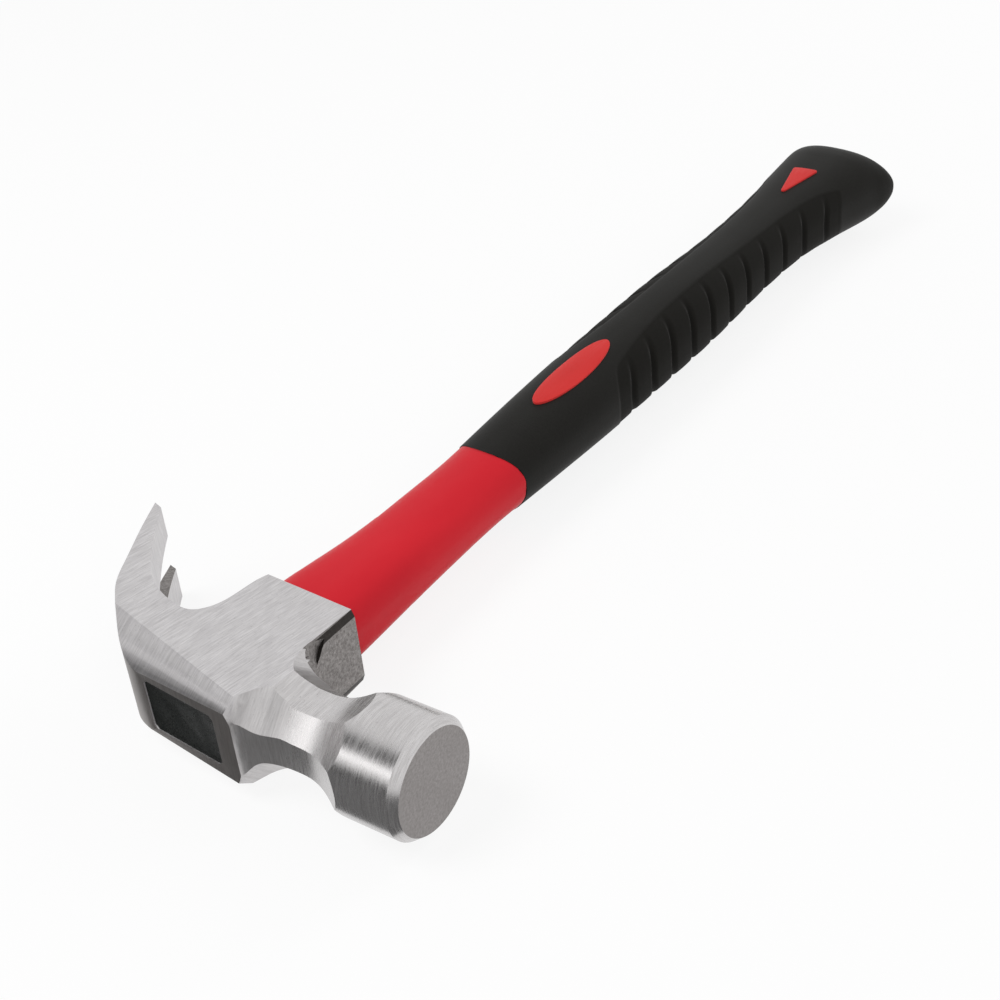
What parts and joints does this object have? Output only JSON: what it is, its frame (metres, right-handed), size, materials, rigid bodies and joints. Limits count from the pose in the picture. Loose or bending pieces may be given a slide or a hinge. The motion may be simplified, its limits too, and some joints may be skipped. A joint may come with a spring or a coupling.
{
  "type": "curved claw hammer",
  "caption": "Curved claw hammer: forged steel head with a round poll and split claw, moulded jacket over a glass fibre core, ribbed rubber grip with raised inlays and a flared butt.",
  "frame": {"origin": "centre of the striking face", "axes": "+X points out of the striking face, +Y runs along the handle toward its butt, +Z rises out of the near cheek"},
  "size_m": [0.1074, 0.3223, 0.0282],
  "materials": {
    "head_steel": "satin",
    "potting_resin": "gloss",
    "glass_fibre": "matte",
    "jacket_plastic": "satin",
    "grip_rubber": "matte",
    "inlay_plastic": "satin"
  },
  "bodies": {
    "root": {"hammer_head": "head_steel", "eye_resin": "potting_resin", "fibreglass_core": "glass_fibre", "handle_jacket": "jacket_plastic", "grip_sleeve": "grip_rubber", "oval_inlay": "inlay_plastic", "triangle_inlay": "inlay_plastic"}
  },
  "joints": []
}
